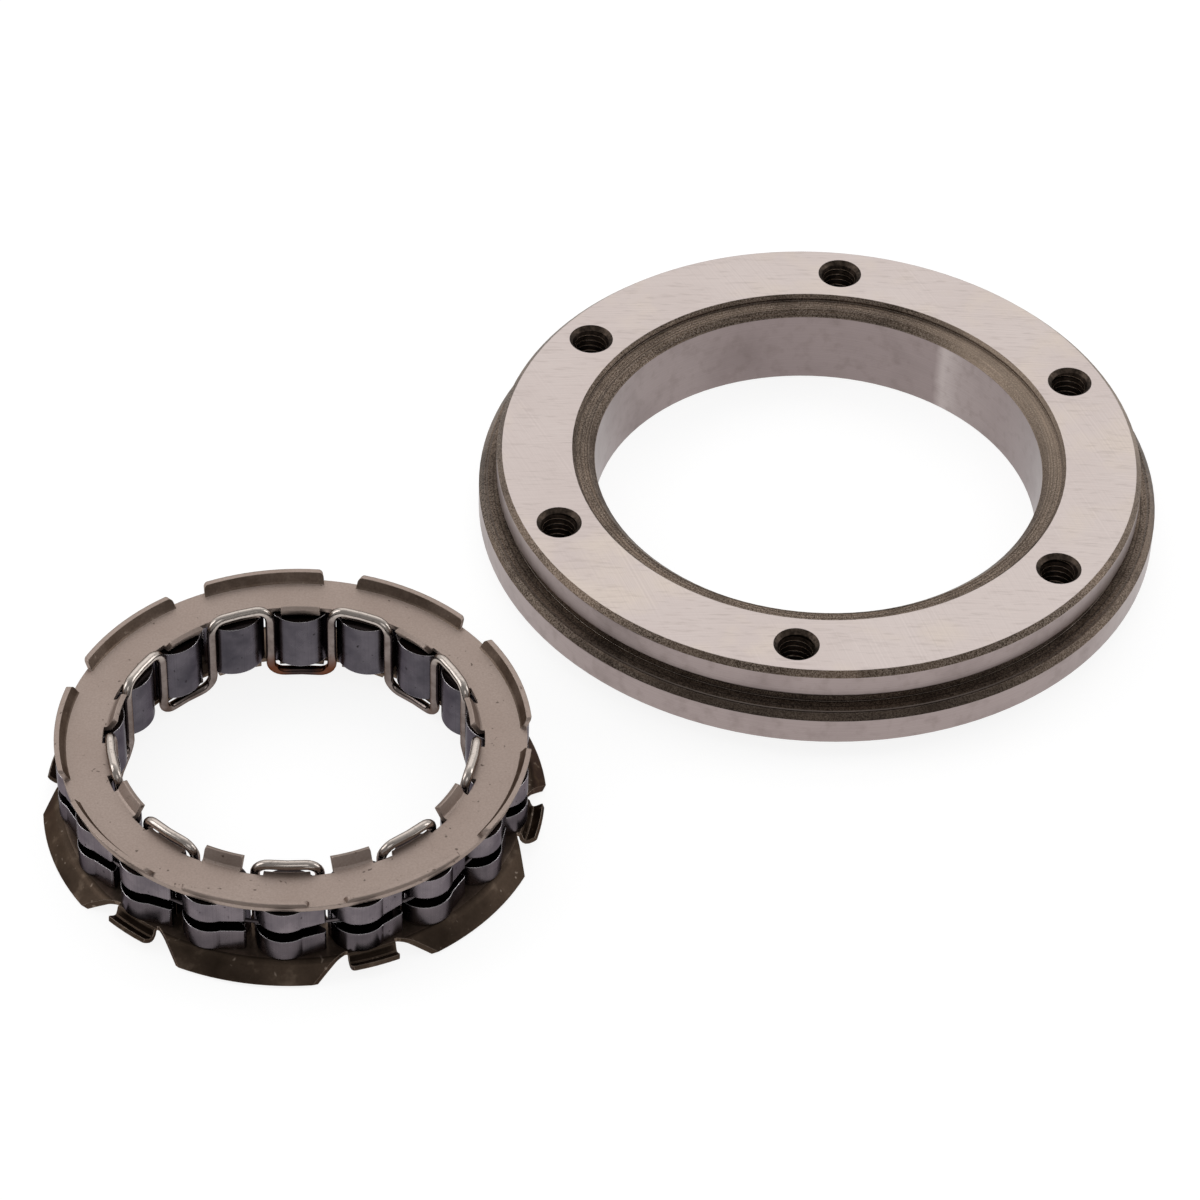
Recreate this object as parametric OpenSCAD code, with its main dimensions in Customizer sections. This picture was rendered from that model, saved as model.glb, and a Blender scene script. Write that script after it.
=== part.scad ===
// One-way clutch in two groups laid side by side: a flanged outer race and the sprag cage for it.
// Lengths are in millimetres and angles in degrees. The race rests on z = 0, bore axis on Z.

/* [Outer race] */
// Diameter of the bore that the sprags grip
bore_d = 84.6; // [83:0.2:87]
// Wall from the bore out to the locating step
race_wall = 18.5; // [17.9:0.1:20.2]
// How far the flange stands out past the locating step
flange_lip = 3.3; // [2.6:0.1:4.5]
// Height of the race
race_h = 17.6; // [17.4:0.1:19]
// Height of the flange's top face
flange_h = 10.1; // [9:0.1:11.2]
// Height of the boss that the race rests on, below the flange
boss_h = 3.6; // [2.5:0.1:4.2]
// Depth of the counterbore that takes the cage's lower lips
counterbore_depth = 1.15; // [0.9:0.05:1.5]
// Diameter of the holes tapped for the bolts
tapped_d = 6.8; // [6:0.1:8.4]
// Number of tapped holes
bolt_count = 6; // [4:1:8]

/* [Cage] */
// Thickness of the pressed sheet
sheet_t = 0.9; // [0.75:0.05:1]
// How far the upper lips flare out past the plates' nominal edge
lip_spring = 0.7; // [0.3:0.1:0.9]
// Height of the upper lips above the plate
lip_rise = 1.8; // [1.6:0.1:2.4]
// Half the width of an upper lip
lip_half_w = 10.95; // [8:0.05:11.5]
// Height of the lower plate above its lips' rims
flare_h = 3; // [2.6:0.1:3.2]
// Diameter of the spring wire
wire_d = 1.75; // [1.4:0.05:1.85]
// Thickness of the strand that runs in the sprags' grooves
strand_d = 0.66; // [0.5:0.02:0.8]

/* [Sprags] */
// Radius of a sprag's outer gripping face
bulge_r = 5; // [4.8:0.05:5.1]
// Radius of a sprag's inner gripping face
foot_r = 6; // [5.8:0.05:6.1]
// Width of the groove across a sprag's back
groove_w = 2.4; // [1.8:0.1:2.8]

/* [Layout] */
// Gap between the race and the cage
cage_gap = 14; // [8:0.1:30]
// Direction of the cage from the race
cage_direction = 220.5; // [180:0.1:270]

/* [Hidden] */
$fn = 96;
eps = 0.01;

// Outer race
bore_r = bore_d / 2;
step_r = bore_r + race_wall;
flange_r = step_r + flange_lip;
counterbore_r = bore_r + 3.7;
counterbore_z = race_h - counterbore_depth;
bore_chamfer = 1.2;
rim_chamfer = 0.6;
step_chamfer = 1;
flange_chamfer = 1.1;
flange_corner = 1;
foot_chamfer = 0.3;
boss_r = step_r - 1.8;
relief_depth = 0.8;
relief_h = 2.3;
bolt_ring_r = (counterbore_r + step_r) / 2;
bolt_phase = 84.97;
bolt_chamfer = 0.8;

// Heights in the cage: the sprags are a little shorter than the ground length of the bore
end_play = 0.2;
cage_play = 0.9;
bore_len = counterbore_z - bore_chamfer - foot_chamfer;
sprag_len = bore_len - 4.05;
lower_under = flare_h;
lower_top = lower_under + sheet_t;
sprag_base = lower_top + end_play;
upper_under = sprag_base + sprag_len + end_play;
upper_top = upper_under + sheet_t;
mid_z = (lower_top + upper_under) / 2;

// Radii in the cage, all counted from the plates' nominal edge
cage_r = bore_r - cage_play;
plate_r = cage_r - 0.2;
lip_r = cage_r + lip_spring;
lip_bend = 0.8;
plate_in_r = cage_r - 8.7;
notch_r = cage_r - 7.7;
leg_r = cage_r - 9.4;
run_r = cage_r - 9.15;
strand_r = cage_r - 2.3;
groove_floor_r = cage_r - 3.4;
pivot_r = cage_r - 5;

// Angles in the cage
sprag_count = 18;
pitch = 360 / sprag_count;
first_sprag = 91.9;
pairs = sprag_count / 2;
ledge_half = 7;
first_upper_lip = 101.9;
lip_corner = 0.7;

// Tabs bent up and in at the upper plate's inner edge
tab_half_w = 3.5;
tab_lean = 30;
tab_reach = 2.9;
tab_corner = 0.5;
tab_root_r = cage_r - 8.8;

// Lower plate: six flared lips that rest on the ground and six short hooks between them
lower_lips = 6;
first_lower_lip = -97.5;
flare_r = cage_r + 3.5;
flare_drop = 50;
flare_bend = 2.2;
fold_half_w = 14.75;
rim_half_w = 11.95;
fold_y = cage_r - 1.8;
rim_y = cage_r + 1.7;
lower_edge_r = cage_r - 0.35;
hook_half_w = 4.3;
hook_corner = 0.9;

// Sprag section, seen from above with the cage's axis below it
bulge_x = 0.4;
bulge_y = cage_r + 0.6 - bulge_r;
foot_x = -0.3;
foot_y = cage_r - 10.6 + foot_r;
foot_half_w = 5.6;
waist_r = 2.4;
waist_x = 7.9;
waist_y = cage_r - 7.2;

// Spring wire
corner_r = 2.6;
corner_steps = 6;
wire_sides = 10;
wire_gap = 0.33;
wire_half_h = upper_top + wire_gap + wire_d / 2 - mid_z;
lean_from = 4.4;

cage_reach = flange_r + flare_r + cage_gap;
cage_x = cage_reach * cos(cage_direction);
cage_y = cage_reach * sin(cage_direction);

// Section of the race, from the foot of the bore round to the foot of the boss under the flange
module race_section() {
    polygon([
        [bore_r + foot_chamfer, 0],
        [bore_r, foot_chamfer],
        [bore_r, counterbore_z - bore_chamfer],
        [bore_r + bore_chamfer, counterbore_z],
        [counterbore_r, counterbore_z],
        [counterbore_r, race_h - rim_chamfer],
        [counterbore_r + rim_chamfer, race_h],
        [step_r - step_chamfer, race_h],
        [step_r, race_h - step_chamfer],
        [step_r, flange_h + relief_h],
        [step_r - relief_depth, flange_h + relief_h - relief_depth],
        [step_r - relief_depth, flange_h],
        [flange_r - flange_corner, flange_h],
        [flange_r, flange_h - flange_chamfer],
        [flange_r, boss_h + foot_chamfer],
        [flange_r - foot_chamfer, boss_h],
        [boss_r, boss_h],
        [boss_r, foot_chamfer],
        [boss_r - foot_chamfer, 0]
    ]);
}

// Tapped hole with a countersink at each end
module tapped_hole() {
    mouth_r = tapped_d / 2 + bolt_chamfer;
    translate([0, 0, -eps])
        cylinder(d = tapped_d, h = race_h + 2 * eps);
    translate([0, 0, race_h - bolt_chamfer])
        cylinder(r1 = tapped_d / 2, r2 = mouth_r + eps, h = bolt_chamfer + eps);
    translate([0, 0, -eps])
        cylinder(r1 = mouth_r + eps, r2 = tapped_d / 2, h = bolt_chamfer + eps);
}

module outer_race() {
    color("lightsteelblue")
    difference() {
        rotate_extrude()
            race_section();
        for (k = [0 : bolt_count - 1])
            rotate([0, 0, bolt_phase + k * 360 / bolt_count])
                translate([bolt_ring_r, 0, 0])
                    tapped_hole();
    }
}

// Moves a piece of the cage from the origin to its place beside the race
module at_cage() {
    translate([cage_x, cage_y, 0])
        children();
}

// Wedge in plan, open outwards, centred on the Y axis
module wedge(half_angle, reach) {
    polygon([
        [0, 0],
        [reach * sin(half_angle), reach * cos(half_angle)],
        [-reach * sin(half_angle), reach * cos(half_angle)]
    ]);
}

// Flat plate in plan: plain outer edge, ledges reaching in by the wire, notches for its legs
module plate_plan(outer_r, first_ledge, ledge_pitch) {
    difference() {
        circle(r = outer_r);
        circle(r = notch_r);
    }
    for (turn = [0 : ledge_pitch : 359])
        rotate([0, 0, first_ledge + turn - 90])
            intersection() {
                difference() {
                    circle(r = notch_r + sheet_t);
                    circle(r = plate_in_r);
                }
                wedge(ledge_half, 2 * plate_in_r);
            }
}

// Straight-sided window with two rounded top corners, standing across the Y axis
module window(half_w, low, high, corner, from_y, to_y) {
    translate([0, to_y, 0])
        rotate([90, 0, 0])
            linear_extrude(to_y - from_y) {
                translate([-half_w, low])
                    square([2 * half_w, high - corner - low]);
                translate([corner - half_w, low])
                    square([2 * (half_w - corner), high - low]);
                for (side = [-1, 1])
                    translate([side * (half_w - corner), high - corner])
                        circle(r = corner);
            }
}

// Section of an upper lip: the plate's edge turns up and flares to the rim
module upper_lip_section() {
    rim_z = upper_top + lip_rise;
    fold_r = plate_r;
    polygon([
        [fold_r - 3 * sheet_t, upper_under],
        [fold_r - lip_bend, upper_under],
        [fold_r - lip_bend / 4, upper_under + lip_bend / 4],
        [fold_r, upper_under + lip_bend],
        [lip_r, rim_z],
        [lip_r - sheet_t, rim_z],
        [fold_r - sheet_t, upper_top + lip_bend / 3],
        [fold_r - sheet_t - lip_bend / 3, upper_top],
        [fold_r - 3 * sheet_t, upper_top]
    ]);
}

// Section of a tab at the inner edge, leaning in over the sprags
module tab_section() {
    base = [tab_root_r, upper_under];
    along = [-sin(tab_lean), cos(tab_lean)];
    across = [cos(tab_lean), sin(tab_lean)];
    tip = base + tab_reach * along;
    back = tip + sheet_t * across;
    back_drop = (back[1] - upper_top) / cos(tab_lean);
    heel = back - back_drop * along;
    polygon([
        [notch_r + sheet_t, upper_under],
        [base[0] + sheet_t / 2, upper_under],
        base + sheet_t / 4 * along,
        tip,
        back,
        heel + sheet_t / 3 * along,
        [heel[0] + sheet_t / 4, upper_top],
        [notch_r + sheet_t, upper_top]
    ]);
}

module tabs() {
    intersection() {
        rotate_extrude()
            tab_section();
        for (k = [0 : pairs - 1])
            rotate([0, 0, first_sprag + 2 * k * pitch - 90])
                window(tab_half_w, upper_under - eps, upper_under + tab_reach + eps,
                    tab_corner, leg_r - wire_d, notch_r + sheet_t - eps);
    }
}

module upper_plate() {
    color("tan")
    at_cage()
        union() {
            translate([0, 0, upper_under])
                linear_extrude(sheet_t)
                    plate_plan(plate_r, first_sprag + pitch, 2 * pitch);
            intersection() {
                rotate_extrude()
                    upper_lip_section();
                for (k = [0 : pairs - 1])
                    rotate([0, 0, first_upper_lip + 2 * k * pitch - 90])
                        window(lip_half_w, upper_under - eps, upper_top + lip_rise + eps,
                            lip_corner, fold_y - 5, cage_r + 2);
            }
            tabs();
        }
}

// Section of a long lower lip: the edge bends down and flares out to rest on the ground
module flare_section() {
    along = [cos(flare_drop), -sin(flare_drop)];
    across = [sin(flare_drop), cos(flare_drop)];
    rim = [flare_r, sheet_t * across[1]];
    bend_z = lower_top - flare_bend;
    bend_r = rim[0] - flare_bend * across[0]
        - (bend_z + flare_bend * across[1] - rim[1]) / tan(flare_drop);
    polygon(concat(
        [[cage_r - 2.5, lower_under]],
        [for (turn = [0 : flare_drop / 5 : flare_drop])
            [bend_r, bend_z] + (flare_bend - sheet_t) * [sin(turn), cos(turn)]],
        [rim - sheet_t * across, rim],
        [for (turn = [flare_drop : -flare_drop / 5 : 0])
            [bend_r, bend_z] + flare_bend * [sin(turn), cos(turn)]],
        [[cage_r - 2.5, lower_top]]
    ));
}

// Section of a short hook: down from the plate, round a shallow trough and up again to its rim
module hook_section() {
    polygon([
        [cage_r - 2.5, lower_under],
        [cage_r - 0.1, lower_under],
        [cage_r + 0.15, lower_under - 0.9],
        [cage_r + 0.6, lower_under - 1.5],
        [cage_r + 1.1, lower_under - 1.7],
        [cage_r + 1.8, lower_under - 1.5],
        [cage_r + 3.1, lower_under - 0.55],
        [cage_r + 2.75, lower_under + 0.25],
        [cage_r + 1.6, lower_top - 1.5],
        [cage_r + 1.15, lower_top - 1.7],
        [cage_r + 0.9, lower_top - 1.55],
        [cage_r + 0.65, lower_top - 1],
        [cage_r + 0.45, lower_top - 0.3],
        [cage_r + 0.15, lower_top],
        [cage_r - 2.5, lower_top]
    ]);
}

module flare_plan() {
    slant = (fold_half_w - rim_half_w) / (rim_y - fold_y);
    near = 4;
    far = 3;
    polygon([
        [-fold_half_w - slant * near, fold_y - near],
        [fold_half_w + slant * near, fold_y - near],
        [rim_half_w - slant * far, rim_y + far],
        [-rim_half_w + slant * far, rim_y + far]
    ]);
}

module hook_plan() {
    hook_y = cage_r + 3.1;
    translate([-hook_half_w, fold_y])
        square([2 * hook_half_w, hook_y - hook_corner - fold_y]);
    translate([hook_corner - hook_half_w, fold_y])
        square([2 * (hook_half_w - hook_corner), hook_y - fold_y + 1]);
    for (side = [-1, 1])
        translate([side * (hook_half_w - hook_corner), hook_y - hook_corner])
            circle(r = hook_corner);
}

module lower_plate() {
    color("tan")
    at_cage()
        union() {
            translate([0, 0, lower_under])
                linear_extrude(sheet_t)
                    plate_plan(lower_edge_r, first_sprag, pitch);
            intersection() {
                rotate_extrude()
                    flare_section();
                for (k = [0 : lower_lips - 1])
                    rotate([0, 0, first_lower_lip + k * 360 / lower_lips - 90])
                        translate([0, 0, -1])
                            linear_extrude(lower_top + 2)
                                flare_plan();
            }
            intersection() {
                rotate_extrude()
                    hook_section();
                for (k = [0 : lower_lips - 1])
                    rotate([0, 0, first_lower_lip + (k + 0.5) * 360 / lower_lips - 90])
                        translate([0, 0, -1])
                            linear_extrude(lower_top + 2)
                                hook_plan();
            }
        }
}

// One corner of the wire's path as [angle, height]: turn runs from 0 on the run to 90 on the leg
function to_degrees(s) = s / leg_r * 180 / PI;
function path_corner(leg, side, end, turn) = [
    leg + to_degrees(side * corner_r * (1 - sin(turn))),
    mid_z + end * (wire_half_h - corner_r * (1 - cos(turn)))
];

// The path over one pair of sprags: up one leg, over a sprag, down the next leg, under a sprag
function path_pair(start) = [
    for (i = [0 : corner_steps]) path_corner(start + pitch / 2, -1, -1, i * 90 / corner_steps),
    for (i = [0 : corner_steps]) path_corner(start + pitch / 2, 1, 1, 90 - i * 90 / corner_steps),
    [start + pitch, mid_z + wire_half_h],
    for (i = [0 : corner_steps]) path_corner(start + 3 * pitch / 2, -1, 1, i * 90 / corner_steps),
    for (i = [0 : corner_steps]) path_corner(start + 3 * pitch / 2, 1, -1, 90 - i * 90 / corner_steps),
    [start + 2 * pitch, mid_z - wire_half_h]
];

// The wire leans out from the legs' radius to the runs' radius above and below the plates
function lean_share(z) = min(1, max(0, (abs(z - mid_z) - lean_from) / (wire_half_h - lean_from)));
function lean_r(z) = leg_r + (run_r - leg_r) * pow(lean_share(z), 2) * (3 - 2 * lean_share(z));
function path_point(p) = [lean_r(p[1]) * cos(p[0]), lean_r(p[1]) * sin(p[0]), p[1]];
function unit(v) = v / norm(v);
function flat_unit(p) = unit([p[0], p[1], 0]);

wire_path = [for (k = [0 : pairs - 1], p = path_pair(first_sprag + 2 * k * pitch)) path_point(p)];
wire_n = len(wire_path);
function wire_heading(i) = unit(wire_path[(i + 1) % wire_n] - wire_path[(i + wire_n - 1) % wire_n]);
function wire_side(i) = unit(cross(wire_heading(i), flat_unit(wire_path[i])));
function wire_ring(i) = [
    for (j = [0 : wire_sides - 1])
        let (a = (j + 0.5) * 360 / wire_sides)
        wire_path[i] + wire_d / 2 * (cos(a) * wire_side(i) + sin(a) * cross(wire_side(i), wire_heading(i)))
];

module meander_spring() {
    points = [for (i = [0 : wire_n - 1], p = wire_ring(i)) p];
    faces = [
        for (i = [0 : wire_n - 1], j = [0 : wire_sides - 1], half = [0, 1])
            let (
                here = i * wire_sides,
                next = (i + 1) % wire_n * wire_sides,
                k = (j + 1) % wire_sides
            )
            half == 0 ? [here + j, next + j, next + k] : [here + j, next + k, here + k]
    ];
    color("silver")
    at_cage()
        polyhedron(points = points, faces = faces);
}

module energising_ring() {
    color("gray")
    at_cage()
        rotate_extrude()
            translate([strand_r, mid_z + groove_w / 2 - 0.12 - strand_d / 2])
                circle(d = strand_d);
}

// Sprag section: outer gripping arc with an ear, a waist, and the wider arc of the foot
module sprag_section() {
    difference() {
        union() {
            translate([bulge_x, bulge_y])
                circle(r = bulge_r);
            intersection() {
                translate([foot_x, foot_y])
                    circle(r = foot_r);
                translate([-foot_half_w, foot_y - 2 * foot_r])
                    square([2 * foot_half_w, 2 * foot_r]);
            }
            polygon([
                [-2.7, cage_r - 0.5],
                [-6.55, cage_r - 1.87],
                [-6.8, cage_r - 2.2],
                [-6.7, cage_r - 2.75],
                [-4.8, cage_r - 4.4],
                [-2.7, cage_r - 5]
            ]);
        }
        for (side = [-1, 1])
            translate([side * waist_x, waist_y])
                circle(r = waist_r);
    }
}

module sprag(i) {
    color("slategray")
    at_cage()
        rotate([0, 0, first_sprag + (i - 1) * pitch - 90])
            difference() {
                translate([0, 0, sprag_base])
                    linear_extrude(sprag_len)
                        sprag_section();
                translate([0, 0, mid_z - groove_w / 2])
                    linear_extrude(groove_w)
                        difference() {
                            circle(r = cage_r + 2);
                            circle(r = groove_floor_r);
                        }
            }
}

module sprag_01() {
    sprag(1);
}
module sprag_02() {
    sprag(2);
}
module sprag_03() {
    sprag(3);
}
module sprag_04() {
    sprag(4);
}
module sprag_05() {
    sprag(5);
}
module sprag_06() {
    sprag(6);
}
module sprag_07() {
    sprag(7);
}
module sprag_08() {
    sprag(8);
}
module sprag_09() {
    sprag(9);
}
module sprag_10() {
    sprag(10);
}
module sprag_11() {
    sprag(11);
}
module sprag_12() {
    sprag(12);
}
module sprag_13() {
    sprag(13);
}
module sprag_14() {
    sprag(14);
}
module sprag_15() {
    sprag(15);
}
module sprag_16() {
    sprag(16);
}
module sprag_17() {
    sprag(17);
}
module sprag_18() {
    sprag(18);
}

outer_race();
upper_plate();
lower_plate();
meander_spring();
energising_ring();
sprag_01();
sprag_02();
sprag_03();
sprag_04();
sprag_05();
sprag_06();
sprag_07();
sprag_08();
sprag_09();
sprag_10();
sprag_11();
sprag_12();
sprag_13();
sprag_14();
sprag_15();
sprag_16();
sprag_17();
sprag_18();
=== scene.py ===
import math
import bmesh
import bpy
from mathutils import Matrix, Vector


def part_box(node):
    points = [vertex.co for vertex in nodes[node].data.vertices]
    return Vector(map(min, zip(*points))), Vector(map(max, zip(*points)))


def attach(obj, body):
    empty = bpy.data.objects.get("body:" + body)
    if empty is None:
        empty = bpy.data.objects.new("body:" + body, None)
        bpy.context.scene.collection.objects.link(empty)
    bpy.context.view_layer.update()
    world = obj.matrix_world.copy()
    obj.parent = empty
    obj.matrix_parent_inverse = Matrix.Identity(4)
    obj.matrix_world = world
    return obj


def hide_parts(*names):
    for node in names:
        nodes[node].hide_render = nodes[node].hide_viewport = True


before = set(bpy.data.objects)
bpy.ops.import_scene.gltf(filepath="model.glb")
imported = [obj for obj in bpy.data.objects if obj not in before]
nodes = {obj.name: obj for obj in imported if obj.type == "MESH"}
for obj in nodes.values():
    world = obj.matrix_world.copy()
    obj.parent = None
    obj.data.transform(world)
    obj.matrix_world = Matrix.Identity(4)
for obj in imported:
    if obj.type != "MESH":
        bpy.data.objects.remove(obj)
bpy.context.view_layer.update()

# Lengths are in metres. Angles are in radians, but in degrees along the wire's path.
MM = 0.001
WHITE = (1.0, 1.0, 1.0, 1.0)

# Race: its outer size is the CAD node's, and the steps inwards from there are the part's
_, race_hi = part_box("outer_race")
RACE_H = race_hi[2]
FLANGE_R = race_hi[0]
FLANGE_H = 10.1 * MM
FLANGE_LIP = 3.3 * MM
RACE_WALL = 18.5 * MM
COUNTERBORE_STEP = 3.7 * MM
STEP_R = FLANGE_R - FLANGE_LIP
BORE_R = STEP_R - RACE_WALL

# Tapped holes
BOLTS = 6
BOLT_RING = (BORE_R + COUNTERBORE_STEP + STEP_R) / 2
BOLT_PHASE = math.radians(84.97)
COUNTERSINK_REACH = 4.3 * MM

# Cage: it stands round the strand's centre, with its nominal edge a little inside the bore's radius
cage_lo, cage_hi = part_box("energising_ring")
CAGE = Vector(((cage_lo[0] + cage_hi[0]) / 2, (cage_lo[1] + cage_hi[1]) / 2, 0.0))
CAGE_PLAY = 0.9 * MM
CAGE_R = BORE_R - CAGE_PLAY
SPRAGS = 18
FIRST_SPRAG_DEG = 91.9
WIRE_R = 0.875 * MM


# Camera

AIM = Vector((-40.376, -24.357, 0.0)) * MM
ELEVATION = math.radians(43.002)
ROLL = math.radians(1.884)
DISTANCE = 885.4 * MM
SENSOR = 36.0
LENS = 141.78


def make_camera():
    """Looks along +Y and down at the table, with the photograph's small roll."""
    back = Vector((0, -math.cos(ELEVATION), math.sin(ELEVATION)))
    right = Vector((1, 0, 0))
    up = Vector((0, math.sin(ELEVATION), math.cos(ELEVATION)))
    cam_x = math.cos(ROLL) * right + math.sin(ROLL) * up
    cam_y = -math.sin(ROLL) * right + math.cos(ROLL) * up
    place = Matrix((cam_x, cam_y, back)).transposed().to_4x4()
    place.translation = AIM + DISTANCE * back
    data = bpy.data.cameras.new("camera")
    data.sensor_width = SENSOR
    data.lens = LENS
    data.clip_start = 0.01
    data.clip_end = 50.0
    cam = bpy.data.objects.new("camera", data)
    cam.matrix_world = place
    bpy.context.scene.collection.objects.link(cam)
    bpy.context.scene.camera = cam


# Node trees

class Tree:
    """The empty node tree of a material or world, and short calls that add nodes to it."""

    def __init__(self, owner):
        owner.use_nodes = True
        self.tree = owner.node_tree
        self.tree.nodes.clear()

    def feed(self, socket, value):
        """Links a socket or sets a constant, whichever the value is."""
        if isinstance(value, bpy.types.NodeSocket):
            self.tree.links.new(value, socket)
        else:
            socket.default_value = value

    def add(self, kind, inputs=None, **props):
        node = self.tree.nodes.new(kind)
        for key, value in props.items():
            setattr(node, key, value)
        for key, value in (inputs or {}).items():
            self.feed(node.inputs[key], value)
        return node

    def math(self, operation, a, b=0.0):
        return self.add("ShaderNodeMath", {0: a, 1: b}, operation=operation).outputs[0]

    def plus(self, a, b):
        return self.math("ADD", a, b)

    def times(self, a, b):
        return self.math("MULTIPLY", a, b)

    def gap(self, a, b):
        """How far two values lie apart."""
        return self.math("ABSOLUTE", self.math("SUBTRACT", a, b))

    def vmath(self, operation, a, b=(0.0, 0.0, 0.0)):
        node = self.add("ShaderNodeVectorMath", {0: a, 1: b}, operation=operation)
        scalar = operation in ("LENGTH", "DISTANCE", "DOT_PRODUCT")
        return node.outputs["Value" if scalar else "Vector"]

    def vector(self, x, y, z=0.0):
        return self.add("ShaderNodeCombineXYZ", {0: x, 1: y, 2: z}).outputs[0]

    def noise(self, vector, scale, detail=3.0, rough=0.55):
        inputs = {"Vector": vector, "Scale": scale, "Detail": detail, "Roughness": rough}
        return self.add("ShaderNodeTexNoise", inputs).outputs["Fac"]

    def noise1(self, w, scale, detail=3.0):
        inputs = {"W": w, "Scale": scale, "Detail": detail}
        return self.add("ShaderNodeTexNoise", inputs, noise_dimensions="1D").outputs["Fac"]

    def span(self, value, low, high, to_low=0.0, to_high=1.0):
        """Carries the value's run from low to high over to the run from to_low to to_high."""
        inputs = {"Value": value, "From Min": low, "From Max": high, "To Min": to_low, "To Max": to_high}
        return self.add("ShaderNodeMapRange", inputs).outputs["Result"]

    def mix(self, factor, a, b):
        node = self.add("ShaderNodeMix", data_type="RGBA")
        self.feed(node.inputs["Factor"], factor)
        self.feed(node.inputs[6], a)
        self.feed(node.inputs[7], b)
        return node.outputs[2]

    def over(self, tone, colour, value, low, high, share=1.0):
        """Lays a colour over the tone as the value goes from low to high, up to a share of it."""
        return self.mix(self.span(value, low, high, 0.0, share), tone, colour)


class Shade(Tree):
    """A material with a Principled shader, fed from the object's own coordinates."""

    def __init__(self, name, metallic=1.0):
        self.mat = bpy.data.materials.new(name)
        super().__init__(self.mat)
        self.bsdf = self.add("ShaderNodeBsdfPrincipled")
        self.add("ShaderNodeOutputMaterial", {"Surface": self.bsdf.outputs[0]})
        self.place = self.add("ShaderNodeTexCoord").outputs["Object"]
        self.set(Metallic=metallic)

    def set(self, **sockets):
        for key, value in sockets.items():
            self.feed(self.bsdf.inputs[key.replace("_", " ")], value)
        return self.mat

    def around(self, centre=(0.0, 0.0, 0.0)):
        """Angle, radius and height about an upright axis."""
        local = self.vmath("SUBTRACT", self.place, tuple(centre))
        parts = self.add("ShaderNodeSeparateXYZ", {0: local}).outputs
        flat = self.vector(parts[0], parts[1])
        angle = self.math("ARCTAN2", parts[1], parts[0])
        return angle, self.vmath("LENGTH", flat), parts[2]

    def edges(self, radius, low=0.02, high=0.25):
        """An edge mask, 0 on flat metal and 1 on a corner, and the rounded normal that it comes from;
        the materials paint highlights on edges with it.
        """
        soft = self.add("ShaderNodeBevel", {"Radius": radius}, samples=6).outputs[0]
        true = self.add("ShaderNodeNewGeometry").outputs["True Normal"]
        turn = self.math("SUBTRACT", 1.0, self.vmath("DOT_PRODUCT", soft, true))
        return self.span(turn, low, high), soft

    def bump(self, height, distance, strength, normal):
        inputs = {"Height": height, "Distance": distance, "Strength": strength, "Normal": normal}
        return self.add("ShaderNodeBump", inputs).outputs[0]


def rgb(r, g, b):
    """Linear colour from the 0 to 255 values read in the photograph."""
    def linear(v):
        v /= 255
        return v / 12.92 if v <= 0.04045 else ((v + 0.055) / 1.055) ** 2.4
    return (linear(r), linear(g), linear(b), 1.0)


# Materials of the race

def ground_top():
    """Flat ground face: faint arcs from the grinding wheel two ways, short fine lines, and clouds."""
    wheel_a, wheel_b = (0.02, -0.62, 0.0), (-0.52, -0.24, 0.0)
    s = Shade("race_ground_top")
    arcs_a = s.noise1(s.vmath("DISTANCE", s.place, wheel_a), 3000.0)
    arcs_b = s.noise1(s.vmath("DISTANCE", s.place, wheel_b), 2600.0)
    patch = s.span(s.noise(s.place, 45.0), 0.42, 0.66)
    arcs = s.mix(patch, arcs_a, arcs_b)
    cloud = s.noise(s.place, 26.0, 4.0)
    warm = s.noise(s.place, 80.0, 4.0)
    marks = s.noise(s.vmath("MULTIPLY", s.place, (0.16, 1.0, 1.0)), 1500.0, 2.0)
    edge, soft = s.edges(0.25 * MM)
    tone = s.mix(s.span(cloud, 0.3, 0.7), rgb(186, 174, 170), rgb(202, 191, 187))
    tone = s.over(tone, rgb(204, 191, 178), warm, 0.5, 0.68, 0.5)
    tone = s.over(tone, rgb(150, 138, 133), arcs, 0.35, 0.7, 0.2)
    tone = s.over(tone, rgb(140, 128, 122), marks, 0.55, 0.72, 0.24)
    tone = s.over(tone, rgb(228, 219, 214), arcs, 0.68, 0.78, 0.3)
    # Painted highlight on the edges
    tone = s.mix(s.times(edge, 0.5), tone, rgb(232, 226, 222))
    return s.set(Base_Color=tone, Roughness=s.span(cloud, 0.3, 0.7, 0.32, 0.40),
                 Normal=s.bump(arcs, 0.008 * MM, 0.12, soft))


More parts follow.
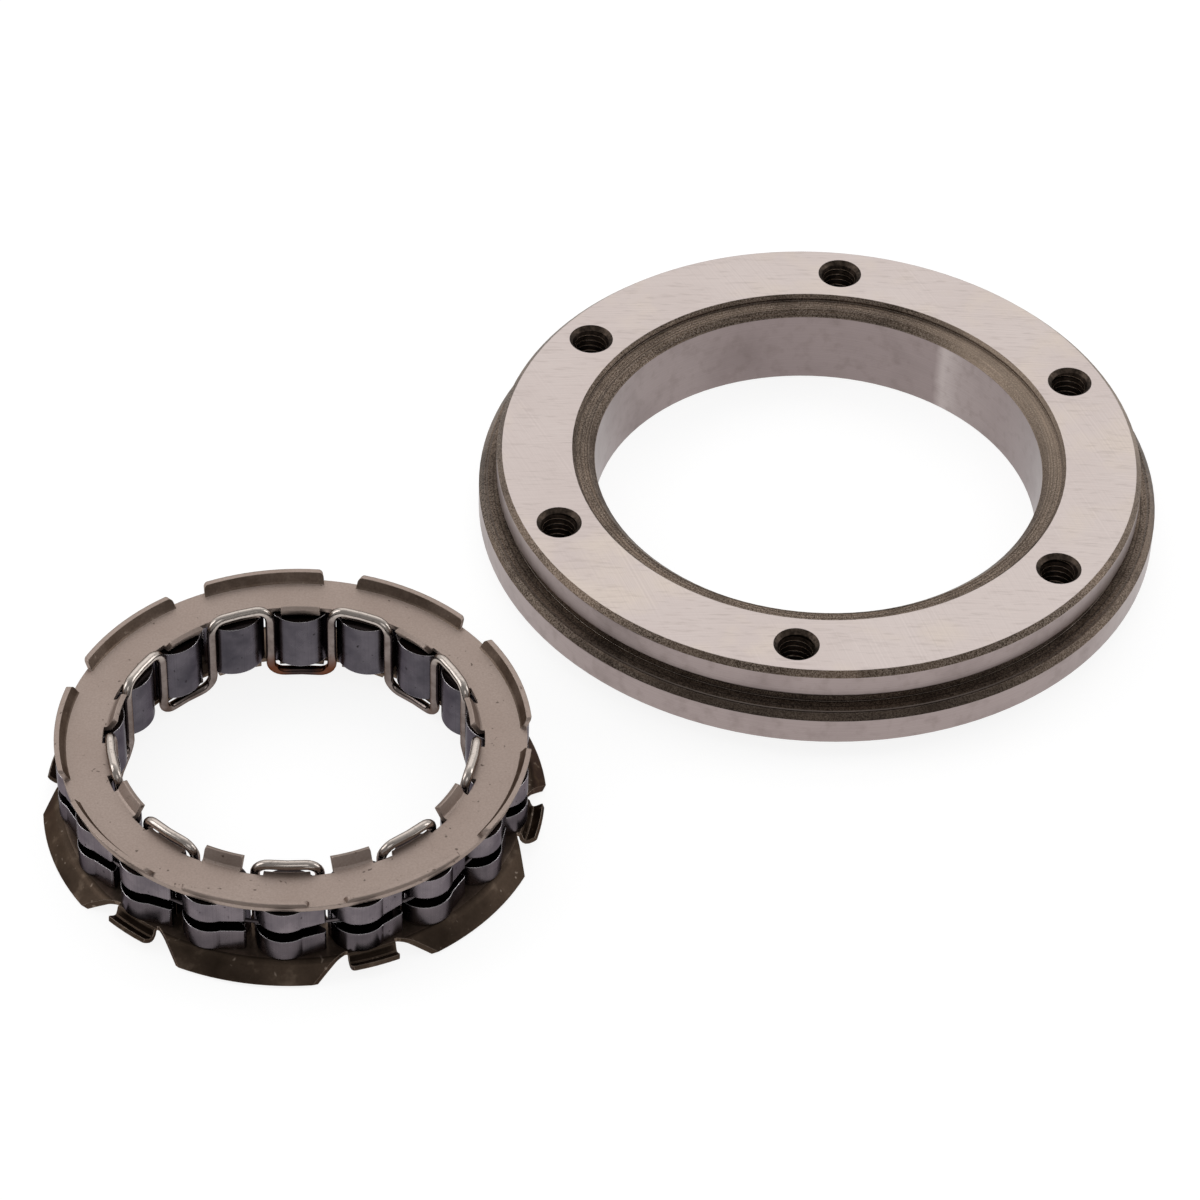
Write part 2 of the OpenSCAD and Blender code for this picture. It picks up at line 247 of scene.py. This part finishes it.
def ground_wall():
    """Walls ground all round, with faint lines; painted reflections brighten the bore in two stretches,
    and the outer walls are painted lighter for the light they catch.
    """
    outside = 50.0 * MM  # past this radius a wall is an outer one, which is lighter
    s = Shade("race_ground_wall")
    angle, radius, height = s.around()
    turn = s.vector(s.math("COSINE", angle), s.math("SINE", angle))
    wander = s.times(s.noise(turn, 9.0), 0.4 * MM)
    lines = s.noise1(s.plus(height, wander), 5200.0)

    # The painted reflections, by angle: one on the right with a sharp end, and a fainter one on the left
    ragged = s.plus(angle, s.times(s.noise(s.place, 160.0), 0.05))
    right = s.times(s.span(ragged, 1.01, 0.96), s.span(ragged, 0.6, 0.95, 0.0, 0.6))
    streak = s.times(s.span(ragged, 1.01, 0.97), s.span(ragged, 0.86, 0.96, 0.0, 0.5))
    left = s.times(s.span(ragged, 2.02, 2.16), s.span(ragged, 2.62, 2.2, 0.0, 0.16))
    inside = s.span(radius, BORE_R + 0.6 * MM, BORE_R + 0.5 * MM)
    painted_sheen = s.times(s.plus(s.plus(right, streak), left), inside)

    cloud = s.noise(s.place, 70.0, 4.0)
    stain = s.noise(s.place, 420.0, 4.0)
    edge, soft = s.edges(0.3 * MM)
    tone = s.mix(s.span(s.noise(turn, 1.2, 1.0), 0.35, 0.65), rgb(140, 127, 126), rgb(150, 137, 135))
    tone = s.mix(s.times(painted_sheen, 0.7), tone, rgb(192, 181, 178))
    # Painted light: the outer walls lighter than the bore
    tone = s.over(tone, rgb(166, 152, 149), radius, outside, outside + MM, 0.8)
    tone = s.over(tone, rgb(112, 99, 98), lines, 0.25, 0.75, 0.26)
    tone = s.over(tone, rgb(108, 96, 94), cloud, 0.5, 0.8, 0.36)
    tone = s.over(tone, rgb(108, 95, 90), stain, 0.5, 0.7, 0.26)
    # Painted highlight on the edges
    tone = s.mix(s.times(edge, 0.5), tone, rgb(225, 217, 214))
    tangent = s.add("ShaderNodeTangent", direction_type="RADIAL", axis="Z").outputs[0]
    return s.set(Base_Color=tone, Roughness=s.span(cloud, 0.3, 0.7, 0.28, 0.38), Anisotropic=0.5,
                 Normal=s.bump(lines, 0.006 * MM, 0.2, soft), Tangent=tangent)


def oxide(name, dark, light, grain):
    """Turned steel left with its dark heat scale: salt and pepper grain, and streaks that run round,
    with painted shade and highlights over it.
    """
    ledge_z = FLANGE_H + 0.5 * MM
    wall_z = FLANGE_H + 1.9 * MM
    mouth_z = RACE_H - 3.6 * MM
    chamfer_r = FLANGE_R - 1.5 * MM  # the chamfer's inner edge, with its corner
    s = Shade(name, metallic=0.85)
    angle, radius, height = s.around()
    along = s.plus(radius, height)
    grit = s.noise(s.place, grain, 3.0, 0.65)
    sparkle = s.noise(s.place, 1.3 * grain, 1.0)
    ring = s.vector(s.times(s.math("COSINE", angle), 0.7), s.times(s.math("SINE", angle), 0.7),
                    s.times(along, 1500.0))
    streaks = s.noise(ring, 3.0, 4.0)
    turned = s.noise1(along, 2400.0)
    patches = s.noise(s.place, 120.0, 4.0)
    edge, soft = s.edges(0.12 * MM)
    tone = s.mix(s.span(grit, 0.42, 0.6), dark, light)
    tone = s.over(tone, rgb(176, 162, 146), sparkle, 0.6, 0.7, 0.7)
    tone = s.over(tone, rgb(140, 119, 101), streaks, 0.42, 0.7, 0.5)
    tone = s.over(tone, rgb(44, 34, 27), turned, 0.5, 0.66, 0.55)
    tone = s.over(tone, rgb(50, 39, 31), patches, 0.5, 0.7, 0.5)
    # Painted shade: the scale a little darker below the step wall
    tone = s.over(tone, rgb(28, 21, 17), height, wall_z + MM, wall_z, 0.1)

    # Painted highlight on the right of the bore's mouth
    painted_sheen = s.times(s.span(angle, 1.15, 0.85), s.span(angle, -0.5, 0.3))
    mouth = s.span(height, mouth_z, mouth_z + MM, 0.0, 0.45)
    tone = s.mix(s.times(painted_sheen, mouth), tone, rgb(158, 141, 125))

    # Painted shade on the flange's front chamfer, with a painted highlight on the thin corner above it
    ledge = s.span(height, wall_z, ledge_z)
    front = s.times(ledge, s.span(s.gap(angle, -math.pi / 2), 0.35, 0.75, 1.0, 0.15))
    chamfer = s.span(radius, chamfer_r, chamfer_r + 0.1 * MM, 0.0, 0.6)
    corner = s.span(s.gap(radius, chamfer_r), 0.08 * MM, 0.2 * MM, 0.7, 0.0)
    tone = s.mix(s.times(chamfer, front), tone, rgb(44, 35, 29))
    tone = s.mix(s.times(corner, front), tone, rgb(200, 188, 180))

    # Painted highlight on the edges
    tone = s.mix(s.times(edge, 0.8), tone, rgb(205, 190, 178))
    return s.set(Base_Color=tone, Roughness=s.span(streaks, 0.4, 0.7, 0.55, 0.38),
                 Normal=s.bump(grit, 0.02 * MM, 0.5, soft))


def thread_steel(name, dark, light):
    """Cut steel inside the tapped holes."""
    s = Shade(name, metallic=0.9)
    grain = s.noise(s.place, 1500.0, 2.0)
    return s.set(Base_Color=s.mix(s.span(grain, 0.3, 0.7), dark, light), Roughness=0.42)


# Materials of the cage

def sheet():
    """Phosphated cage sheet: even taupe with fine grit, painted highlights on its edges and a few dark
    specks.
    """
    s = Shade("cage_sheet", metallic=0.9)
    grit = s.noise(s.place, 2600.0, 2.0)
    cloud = s.noise(s.place, 70.0)
    speck = s.noise(s.place, 900.0, 1.0)
    edge, soft = s.edges(0.22 * MM)
    tone = s.mix(s.span(cloud, 0.3, 0.7), rgb(156, 140, 131), rgb(174, 158, 149))
    tone = s.over(tone, rgb(112, 98, 90), grit, 0.3, 0.7, 0.25)
    tone = s.over(tone, rgb(66, 54, 46), speck, 0.72, 0.78, 0.7)
    # Painted highlight on the edges
    tone = s.mix(s.times(edge, 0.5), tone, rgb(196, 182, 172))
    return s.set(Base_Color=tone, Roughness=s.span(cloud, 0.3, 0.7, 0.42, 0.52),
                 Normal=s.bump(grit, 0.01 * MM, 0.25, soft), Specular_Tint=(0.5, 0.46, 0.43, 1.0))


def sheet_brown(name, dark, light):
    """Darker brown sheet: painted shade on the upper plate's lips and tabs and on the lower plate's
    flared lips, and the lower plate's darker flat ring.
    """
    s = Shade(name, metallic=0.85)
    cloud = s.noise(s.place, 130.0, 4.0)
    grit = s.noise(s.place, 2200.0, 2.0)
    speck = s.noise(s.place, 700.0, 1.0)
    worn = s.noise(s.place, 260.0, 5.0)
    edge, soft = s.edges(0.22 * MM)
    tone = s.mix(s.span(cloud, 0.3, 0.7), dark, light)
    tone = s.over(tone, rgb(50, 40, 33), grit, 0.3, 0.7, 0.3)
    tone = s.over(tone, rgb(150, 136, 124), speck, 0.7, 0.76, 0.6)
    tone = s.over(tone, rgb(128, 112, 98), worn, 0.56, 0.7, 0.35)
    # Painted highlight on the edges
    tone = s.mix(s.times(edge, 0.8), tone, rgb(176, 160, 147))
    return s.set(Base_Color=tone, Roughness=s.span(cloud, 0.3, 0.7, 0.34, 0.48),
                 Normal=s.bump(grit, 0.01 * MM, 0.3, soft), Specular_Tint=(0.35, 0.31, 0.28, 1.0))


def sprag_steel(name, low, high, low_shade=0.0):
    """Burnished sprag steel: softly mottled with small pits, painted highlights on its thin edges, and
    painted shade low down.
    """
    s = Shade(name)
    cloud = s.noise(s.place, 200.0, 4.0)
    pits = s.noise(s.place, 1100.0, 1.0)
    edge, soft = s.edges(0.2 * MM, 0.02, 0.2)
    angle, _, height = s.around(CAGE)
    marks = s.noise1(angle, 150.0)
    tone = s.mix(s.span(cloud, 0.3, 0.7), low, high)
    tone = s.over(tone, rgb(30, 26, 26), pits, 0.72, 0.78, 0.8)
    tone = s.over(tone, rgb(52, 47, 50), marks, 0.4, 0.7, 0.15)
    # Painted shade: darker towards the bottom
    tone = s.over(tone, rgb(48, 42, 42), height, 10.0 * MM, 7.5 * MM, low_shade)
    # Painted highlight on the edges
    tone = s.mix(edge, tone, rgb(224, 219, 222))
    return s.set(Base_Color=tone, Roughness=s.span(cloud, 0.3, 0.7, 0.2, 0.32),
                 Normal=s.bump(cloud, 0.02 * MM, 0.2, soft), Specular_Tint=(0.5, 0.48, 0.5, 1.0))


def strand_steel():
    """Dark oiled steel of the strand in the sprags' grooves."""
    s = Shade("strand_steel")
    cloud = s.noise(s.place, 400.0)
    tone = s.mix(s.span(cloud, 0.3, 0.7), rgb(60, 54, 56), rgb(108, 100, 102))
    return s.set(Base_Color=tone, Roughness=0.45)


def wire_steel():
    """Drawn spring wire, with a painted highlight on its top runs; heat has tinted the run with the butt
    weld.
    """
    s = Shade("wire_steel")
    cloud = s.noise(s.place, 300.0)
    drawn = s.noise(s.place, 1500.0, 2.0)
    angle, _, height = s.around(CAGE)
    tone = s.mix(s.span(cloud, 0.3, 0.7), rgb(98, 87, 82), rgb(136, 125, 121))
    # Painted highlight: the top runs lighter
    tone = s.over(tone, rgb(202, 192, 184), height, 15.0 * MM, 17.2 * MM, 0.8)
    tone = s.over(tone, rgb(60, 50, 44), drawn, 0.55, 0.75, 0.35)

    # Dark at the weld and brown on both sides of it, on the lower run under the first sprag
    away = s.gap(angle, math.radians(FIRST_SPRAG_DEG))
    low_run = s.span(height, 3.5 * MM, 7.5 * MM, 1.0, 0.0)
    heat = s.times(s.span(away, 0.21, 0.25, 1.0, 0.0), low_run)
    fringe = s.plus(away, s.times(cloud, 0.06))
    tint = s.mix(s.span(fringe, 0.09, 0.16), rgb(44, 32, 31), rgb(96, 54, 32))
    tone = s.mix(s.times(heat, 0.9), tone, tint)
    return s.set(Base_Color=tone, Roughness=s.span(drawn, 0.3, 0.7, 0.13, 0.24),
                 Specular_Tint=(0.45, 0.4, 0.38, 1.0))


# Faces of the CAD nodes take a finish, painted shade and painted light by where they lie and which way
# they face

NEAR = 0.2 * MM
TOP, WALL, SCALE, THREAD, COUNTERSINK = range(5)
PLATE, SHADED = range(2)
SIDE, SHADED_END, WORN_AND_LIT = range(3)


def paint(obj, materials, pick=None):
    """Gives a node its materials, and each face the slot that pick names, or the first one."""
    obj.data.materials.clear()
    for material in materials:
        obj.data.materials.append(material)
    for face in obj.data.polygons:
        face.material_index = pick(face.center, face.normal) if pick else 0


def hole_places():
    """Centres of the tapped holes."""
    for k in range(BOLTS):
        a = BOLT_PHASE + k * 2 * math.pi / BOLTS
        yield BOLT_RING * math.cos(a), BOLT_RING * math.sin(a)


def race_face(centre, normal):
    """Ground ends, bore, step and rim; cut holes; scale on the chamfers, counterbore and ledge."""
    radius = math.hypot(centre.x, centre.y)
    hole = min(math.hypot(centre.x - x, centre.y - y) for x, y in hole_places())
    upright = abs(normal.z) < 0.1
    if hole < COUNTERSINK_REACH and abs(normal.z) < 0.99:
        return THREAD if upright else COUNTERSINK
    if abs(normal.z) > 0.9 and (centre.z > RACE_H - NEAR / 2 or centre.z < NEAR / 2):
        return TOP
    if upright and (radius < BORE_R + NEAR or radius > FLANGE_R - NEAR):
        return WALL
    if upright and radius > STEP_R - NEAR and centre.z > FLANGE_H + 0.9 * MM:
        return WALL
    return SCALE


def about_cage(centre, normal):
    """A face's distance from the cage's axis, and how squarely it faces outwards, from -1 to 1."""
    local = centre - CAGE
    radius = math.hypot(local.x, local.y)
    return radius, (normal.x * local.x + normal.y * local.y) / radius


def upper_plate_face(centre, normal):
    """Painted shade: brown on the tabs' outer faces and on the lips' inner faces."""
    tabs_within, lips_from = CAGE_R - 11.5 * MM, CAGE_R - 2.9 * MM
    radius, outward = about_cage(centre, normal)
    if radius < tabs_within:
        return SHADED if outward > 0.4 else PLATE
    return SHADED if radius > lips_from and outward < -0.5 else PLATE


def lower_plate_face(centre, normal):
    """Darker on the flared lips than on the flat ring, as painted shade."""
    radius, _ = about_cage(centre, normal)
    return SHADED if radius > CAGE_R and abs(normal.z) < 0.995 else PLATE


def sprag_face(centre, normal):
    """Ends painted dark as shade, and lighter steel on the faces that grip the race, partly worn and
    partly painted light.
    """
    if abs(normal.z) > 0.9:
        return SHADED_END
    _, outward = about_cage(centre, normal)
    return WORN_AND_LIT if outward > 0.3 else SIDE


# Threads in the tapped holes

def thread_mesh(name, flank, crest_highlight):
    """A single helical ridge in each tapped hole, standing in from the hole's wall."""
    pitch = 1.25 * MM
    wall, crest = 3.42 * MM, 3.02 * MM
    low, high = 0.9 * MM, RACE_H - 0.9 * MM
    steps, run_out = 36, 9
    total = int((high - low) / pitch * steps)

    # Points of the ridge's section: radius, and height as a share of the pitch
    shoulder = crest + 0.04 * MM
    profile = [(wall, -0.56), (shoulder, -0.07), (crest, 0.0), (shoulder, 0.07), (wall, 0.56)]
    bands, crest_bands = len(profile) - 1, (1, 2)

    bm = bmesh.new()
    for k, (cx, cy) in enumerate(hole_places()):
        rows = []
        for i in range(total + 1):
            a = 2 * math.pi * i / steps + k
            z = low + (high - low) * i / total
            fade = min(1.0, i / run_out, (total - i) / run_out)
            row = []
            for r, dz in profile:
                ridge = wall + (r - wall) * fade
                place = (cx + ridge * math.cos(a), cy + ridge * math.sin(a), z + dz * pitch * fade)
                row.append(bm.verts.new(place))
            rows.append(row)
        for row, following in zip(rows, rows[1:]):
            for j in range(bands):
                bm.faces.new((row[j], following[j], following[j + 1], row[j + 1]))
    mesh = bpy.data.meshes.new(name)
    bm.to_mesh(mesh)
    bm.free()
    for face in mesh.polygons:
        face.use_smooth = True
        # Crest faces take the lighter copy: a painted highlight
        face.material_index = 1 if face.index % bands in crest_bands else 0
    obj = bpy.data.objects.new(name, mesh)
    obj.data.materials.append(flank)
    obj.data.materials.append(crest_highlight)
    bpy.context.scene.collection.objects.link(obj)
    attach(obj, "race")


# Meander spring as one smooth endless curve over its CAD node

def wire_path():
    """Points of the wire: over one sprag and under the next, with round corners at each leg's ends."""
    mid = 9.55 * MM
    upper_top = 16.1 * MM
    wire_gap = 0.33 * MM
    half = upper_top + wire_gap + WIRE_R - mid
    leg_r = CAGE_R - 9.4 * MM
    run_r = CAGE_R - 9.15 * MM
    lean_from = 4.4 * MM
    corner = 2.6 * MM
    pitch = 360 / SPRAGS
    turns = [0, 15, 30, 45, 60, 75, 90]

    def point(angle, z):
        """Place on the path; past lean_from from mid height the wire leans out from leg_r to run_r."""
        share = min(1.0, max(0.0, (abs(z - mid) - lean_from) / (half - lean_from)))
        r = leg_r + (run_r - leg_r) * share ** 2 * (3 - 2 * share)
        a = math.radians(angle)
        return Vector((r * math.cos(a), r * math.sin(a), z)) + CAGE

    def bend(leg, side, end, turn):
        """Point of a round corner, on the given side of a leg and at its upper or lower end."""
        across = side * corner * (1 - math.sin(math.radians(turn)))
        rise = half - corner * (1 - math.cos(math.radians(turn)))
        return point(leg + math.degrees(across / leg_r), mid + end * rise)

    path = []
    for k in range(SPRAGS // 2):
        start = FIRST_SPRAG_DEG + 2 * k * pitch
        rising, falling = start + 0.5 * pitch, start + 1.5 * pitch
        path += [bend(rising, -1, -1, t) for t in turns]
        path.append(point(rising, mid))
        path += [bend(rising, 1, 1, 90 - t) for t in turns]
        path.append(point(start + pitch, mid + half))
        path += [bend(falling, -1, 1, t) for t in turns]
        path.append(point(falling, mid))
        path += [bend(falling, 1, -1, 90 - t) for t in turns]
        path.append(point(start + 2 * pitch, mid - half))
    return path


def wire_curve(material):
    """Sweeps the round wire, a hair thinner than its CAD node, along its path."""
    hair = 0.003 * MM
    path = wire_path()
    data = bpy.data.curves.new("spring_wire", "CURVE")
    data.dimensions = "3D"
    data.bevel_depth = WIRE_R - hair
    data.bevel_resolution = 6
    spline = data.splines.new("POLY")
    spline.points.add(len(path) - 1)
    for p, q in zip(spline.points, path):
        p.co = (*q, 1.0)
    spline.use_cyclic_u = True
    spline.use_smooth = True
    obj = bpy.data.objects.new("spring_wire", data)
    data.materials.append(material)
    bpy.context.scene.collection.objects.link(obj)
    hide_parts("meander_spring")
    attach(obj, "cage")


# Floor, world and lamps

def make_floor():
    """White table: it glows for rays from the camera and from metal, and is grey for other light."""
    half_w, drop, grey, glow = 6.0, 0.02 * MM, 0.25, 0.86
    mesh = bpy.data.meshes.new("floor")
    bm = bmesh.new()
    bmesh.ops.create_grid(bm, x_segments=2, y_segments=2, size=half_w)
    bm.to_mesh(mesh)
    bm.free()
    floor = bpy.data.objects.new("floor", mesh)
    floor.location = (0, 0, -drop)
    bpy.context.scene.collection.objects.link(floor)
    mat = bpy.data.materials.new("floor_white")
    t = Tree(mat)
    rays = t.add("ShaderNodeLightPath").outputs
    seen = t.math("MAXIMUM", rays["Is Camera Ray"], rays["Is Glossy Ray"])
    seen = t.math("MAXIMUM", seen, rays["Is Transmission Ray"])
    matt = t.add("ShaderNodeBsdfDiffuse", {"Color": (grey, grey, grey, 1.0)})
    light = t.add("ShaderNodeEmission", {"Color": WHITE, "Strength": t.times(seen, glow)})
    both = t.add("ShaderNodeAddShader", {0: matt.outputs[0], 1: light.outputs[0]})
    t.add("ShaderNodeOutputMaterial", {"Surface": both.outputs[0]})
    mesh.materials.append(mat)


def make_world():
    """Room that is darker on the camera's side, lighter at the back, and white where it is seen."""
    dark, light = 0.3, 0.8
    world = bpy.data.worlds.new("studio")
    bpy.context.scene.world = world
    t = Tree(world)
    way = t.add("ShaderNodeSeparateXYZ", {0: t.add("ShaderNodeTexCoord").outputs["Generated"]}).outputs
    room = t.span(way[1], -0.3, 0.5, dark, light)
    seen = t.add("ShaderNodeLightPath").outputs["Is Camera Ray"]
    back = t.add("ShaderNodeBackground", {"Color": t.mix(seen, room, WHITE)})
    t.add("ShaderNodeOutputWorld", {"Surface": back.outputs[0]})


def lamp(name, place, size, size_y, power, tint=(1.0, 1.0, 1.0)):
    """Soft rectangular lamp that faces the middle between the race and the cage."""
    middle = Vector((-0.04, -0.03, 0.0))
    data = bpy.data.lights.new(name, "AREA")
    data.shape = "RECTANGLE"
    data.size = size
    data.size_y = size_y
    data.energy = power
    data.color = tint
    obj = bpy.data.objects.new(name, data)
    obj.location = place
    obj.rotation_euler = (middle - Vector(place)).to_track_quat("-Z", "Y").to_euler()
    bpy.context.scene.collection.objects.link(obj)


def make_lamps():
    lamp("back_softbox", (-0.10, 0.75, 0.80), 1.3, 0.7, 1.6, tint=(1.0, 0.985, 0.97))
    lamp("left_softbox", (-0.95, -0.05, 0.55), 0.5, 0.7, 2.1)
    lamp("right_softbox", (0.95, 0.10, 0.45), 0.35, 0.6, 1.3)
    lamp("front_fill", (0.1, -0.9, 0.7), 0.6, 0.4, 0.7)


# Scene

def dress_race():
    scale = oxide("race_oxide", rgb(60, 49, 41), rgb(142, 127, 115), 3400.0)
    thread = thread_steel("race_thread", rgb(26, 20, 16), rgb(60, 48, 40))
    # Painted highlight: a lighter copy of the cut steel for the thread crests
    crest = thread_steel("race_thread_crest_highlight", rgb(156, 134, 114), rgb(206, 186, 168))
    countersink = thread_steel("race_countersink", rgb(42, 34, 28), rgb(84, 72, 63))
    paint(nodes["outer_race"], [ground_top(), ground_wall(), scale, thread, countersink], race_face)
    thread_mesh("race_threads", thread, crest)


def dress_cage():
    # Painted shade: darker copies of the sheet for faces turned away from the light
    shaded_lips = sheet_brown("cage_sheet_lips_shade", rgb(96, 81, 70), rgb(132, 116, 105))
    low_flat = sheet_brown("cage_sheet_low", rgb(98, 82, 69), rgb(134, 117, 104))
    shaded_flare = sheet_brown("cage_sheet_flare_shade", rgb(52, 42, 34), rgb(86, 72, 61))
    paint(nodes["upper_plate"], [sheet(), shaded_lips], upper_plate_face)
    paint(nodes["lower_plate"], [low_flat, shaded_flare], lower_plate_face)
    paint(nodes["energising_ring"], [strand_steel()])
    wire = wire_steel()
    paint(nodes["meander_spring"], [wire])
    wire_curve(wire)


def dress_sprags():
    side = sprag_steel("sprag_steel", rgb(68, 65, 71), rgb(101, 96, 102))
    # Painted shade: the ends dark as they lie in shade under the plates
    end = sprag_steel("sprag_oiled", rgb(26, 22, 22), rgb(48, 42, 42))
    # Outer faces: partly worn bright and partly painted light, with painted shade towards the bottom
    worn = sprag_steel("sprag_worn", rgb(92, 86, 91), rgb(129, 120, 124), low_shade=0.4)
    for i in range(1, SPRAGS + 1):
        paint(nodes["sprag_%02d" % i], [side, end, worn], sprag_face)


def main():
    bpy.context.scene.view_settings.view_transform = "Standard"
    make_camera()
    make_floor()
    make_world()
    make_lamps()
    dress_race()
    dress_cage()
    dress_sprags()


main()
